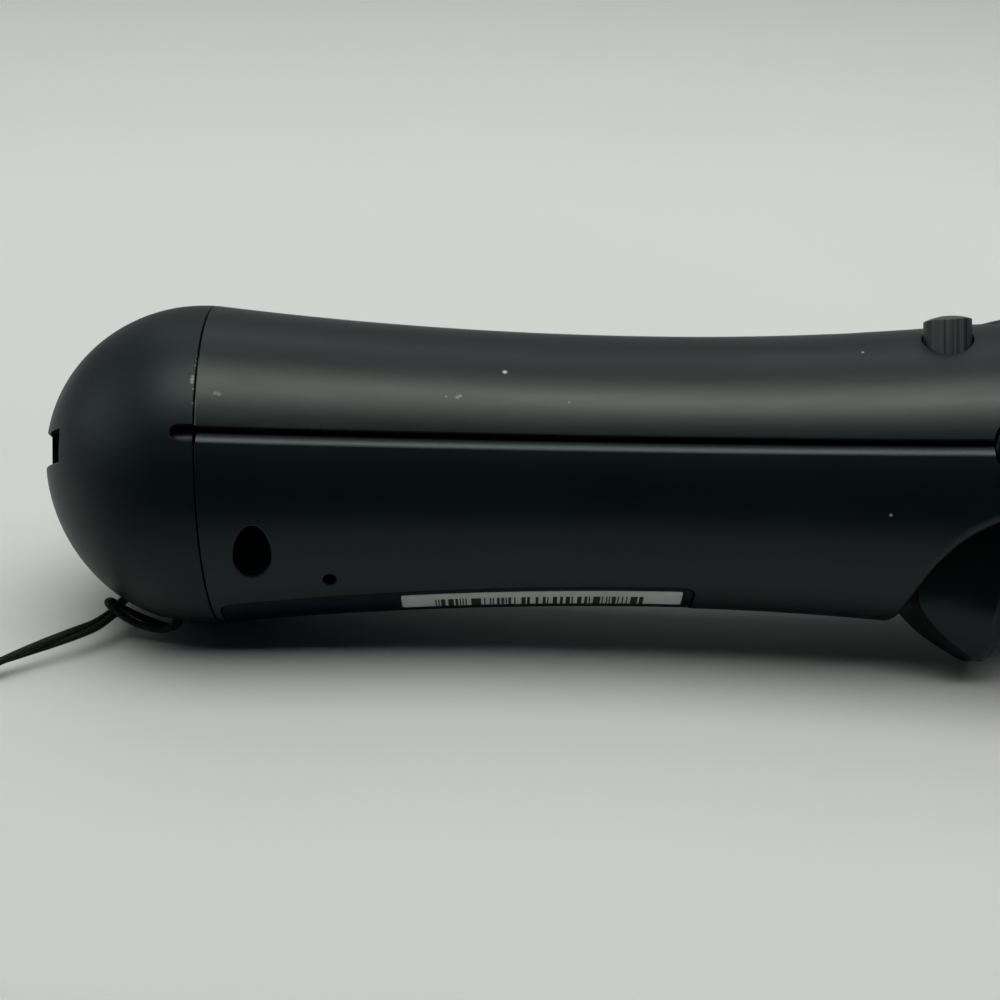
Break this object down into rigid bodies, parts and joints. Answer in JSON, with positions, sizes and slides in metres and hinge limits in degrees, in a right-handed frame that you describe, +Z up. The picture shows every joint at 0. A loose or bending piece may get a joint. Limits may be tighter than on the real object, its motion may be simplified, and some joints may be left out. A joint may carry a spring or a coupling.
{
  "type": "motion controller wand",
  "caption": "Handheld motion controller: waisted two-shell grip with a round end cap, a milky light ball on a neck, press buttons, a hooked trigger and a wrist strap.",
  "frame": {"origin": "on the surface the wand lies on, under the middle of its length", "axes": "+X along the wand from the end cap to the light ball, +Z up, the trigger's tip down towards -Y"},
  "size_m": [0.2306, 0.0726, 0.0461],
  "materials": {
    "shell_grey": "satin, moulded",
    "shell_black": "satin, moulded",
    "button_black": "smooth",
    "ball_white": "milky, soft",
    "clear": "clear",
    "board": "satin",
    "led": "milky",
    "flex": "satin",
    "steel": "plated",
    "mat_rubber": "matte",
    "chip": "matte",
    "lens": "clear red",
    "cell": "shrink sleeve",
    "lead": "insulated wire",
    "plug": "matte",
    "pad": "foam",
    "contact": "plated",
    "label": "smooth film",
    "sticker": "printed film",
    "strap": "braided",
    "tie": "paper-covered wire"
  },
  "bodies": {
    "wand": {"front_shell": "shell_grey", "back_shell": "shell_black", "end_cap": "shell_black", "neck_collar": "shell_grey", "light_ball": "ball_white", "light_guide": "clear", "led_board": "board", "led": "led", "led_flex": "flex", "main_board": "board", "board_screws": "steel", "shield_can": "steel", "radio_module": "steel", "button_mat": "mat_rubber", "side_switches": "chip", "status_lens": "lens", "trigger_pin": "steel", "trigger_spring": "steel", "trigger_sensor": "chip", "battery": "cell", "battery_lead": "lead", "battery_plug": "plug", "battery_pad": "pad", "vibration_motor": "steel", "usb_socket": "steel", "charge_contacts": "contact", "port_board": "board", "port_flex": "flex", "case_screws": "steel", "reset_switch": "chip", "label_strip": "label", "bar_sticker": "sticker", "strap_hitch": "strap", "strap_cord": "strap", "strap_coil": "strap", "strap_end": "shell_black", "coil_tie": "tie"},
    "main_button": {"main_button": "button_black"},
    "face_button_1": {"face_button_1": "button_black"},
    "face_button_2": {"face_button_2": "button_black"},
    "face_button_3": {"face_button_3": "button_black"},
    "face_button_4": {"face_button_4": "button_black"},
    "home_button": {"home_button": "button_black"},
    "left_side_button": {"left_side_button": "button_black"},
    "right_side_button": {"right_side_button": "button_black"},
    "reset_plunger": {"reset_plunger": "button_black"},
    "trigger": {"trigger": "shell_black"},
    "rotor": {"motor_shaft": "steel", "motor_weight": "steel"}
  },
  "joints": [
    {"name": "main_press", "type": "slide", "parent": "wand", "child": "main_button", "axis": [0.0199, -0.4907, -0.8711], "range_m": [0, 0.001], "stiffness_N_per_m": 400, "springref_m": -0.002, "deforming": ["button_mat"]},
    {"name": "face_1_press", "type": "slide", "parent": "wand", "child": "face_button_1", "axis": [0.0199, -0.4907, -0.8711], "range_m": [0, 0.001], "stiffness_N_per_m": 400, "springref_m": -0.002, "deforming": ["button_mat"]},
    {"name": "face_2_press", "type": "slide", "parent": "wand", "child": "face_button_2", "axis": [0.0199, -0.4907, -0.8711], "range_m": [0, 0.001], "stiffness_N_per_m": 400, "springref_m": -0.002, "deforming": ["button_mat"]},
    {"name": "face_3_press", "type": "slide", "parent": "wand", "child": "face_button_3", "axis": [0.0199, -0.4907, -0.8711], "range_m": [0, 0.001], "stiffness_N_per_m": 400, "springref_m": -0.002, "deforming": ["button_mat"]},
    {"name": "face_4_press", "type": "slide", "parent": "wand", "child": "face_button_4", "axis": [0.0199, -0.4907, -0.8711], "range_m": [0, 0.001], "stiffness_N_per_m": 400, "springref_m": -0.002, "deforming": ["button_mat"]},
    {"name": "home_press", "type": "slide", "parent": "wand", "child": "home_button", "axis": [0.0199, -0.4907, -0.8711], "range_m": [0, 0.001], "stiffness_N_per_m": 400, "springref_m": -0.002, "deforming": ["button_mat"]},
    {"name": "left_side_press", "type": "slide", "parent": "wand", "child": "left_side_button", "axis": [0.0112, 0.8713, -0.4906], "range_m": [0, 0.0007], "stiffness_N_per_m": 500, "springref_m": -0.002},
    {"name": "right_side_press", "type": "slide", "parent": "wand", "child": "right_side_button", "axis": [-0.0112, -0.8713, 0.4906], "range_m": [0, 0.0007], "stiffness_N_per_m": 500, "springref_m": -0.002},
    {"name": "reset_press", "type": "slide", "parent": "wand", "child": "reset_plunger", "axis": [-0.0199, 0.4907, 0.8711], "range_m": [0, 0.0004], "stiffness_N_per_m": 300, "springref_m": -0.002},
    {"name": "trigger_pull", "type": "hinge", "parent": "wand", "child": "trigger", "pos_m": [0.03874, -0.00442, 0.01428], "axis": [0.0112, 0.8713, -0.4906], "range_deg": [0, 10], "stiffness_Nm_per_rad": 0.15, "springref_deg": -17.19, "deforming": ["trigger_spring"]},
    {"name": "rotor_spin", "type": "hinge", "parent": "wand", "child": "rotor", "pos_m": [-0.00191, -0.00285, 0.01614], "axis": [0.9997, 0, 0.0228], "continuous": true}
  ]
}
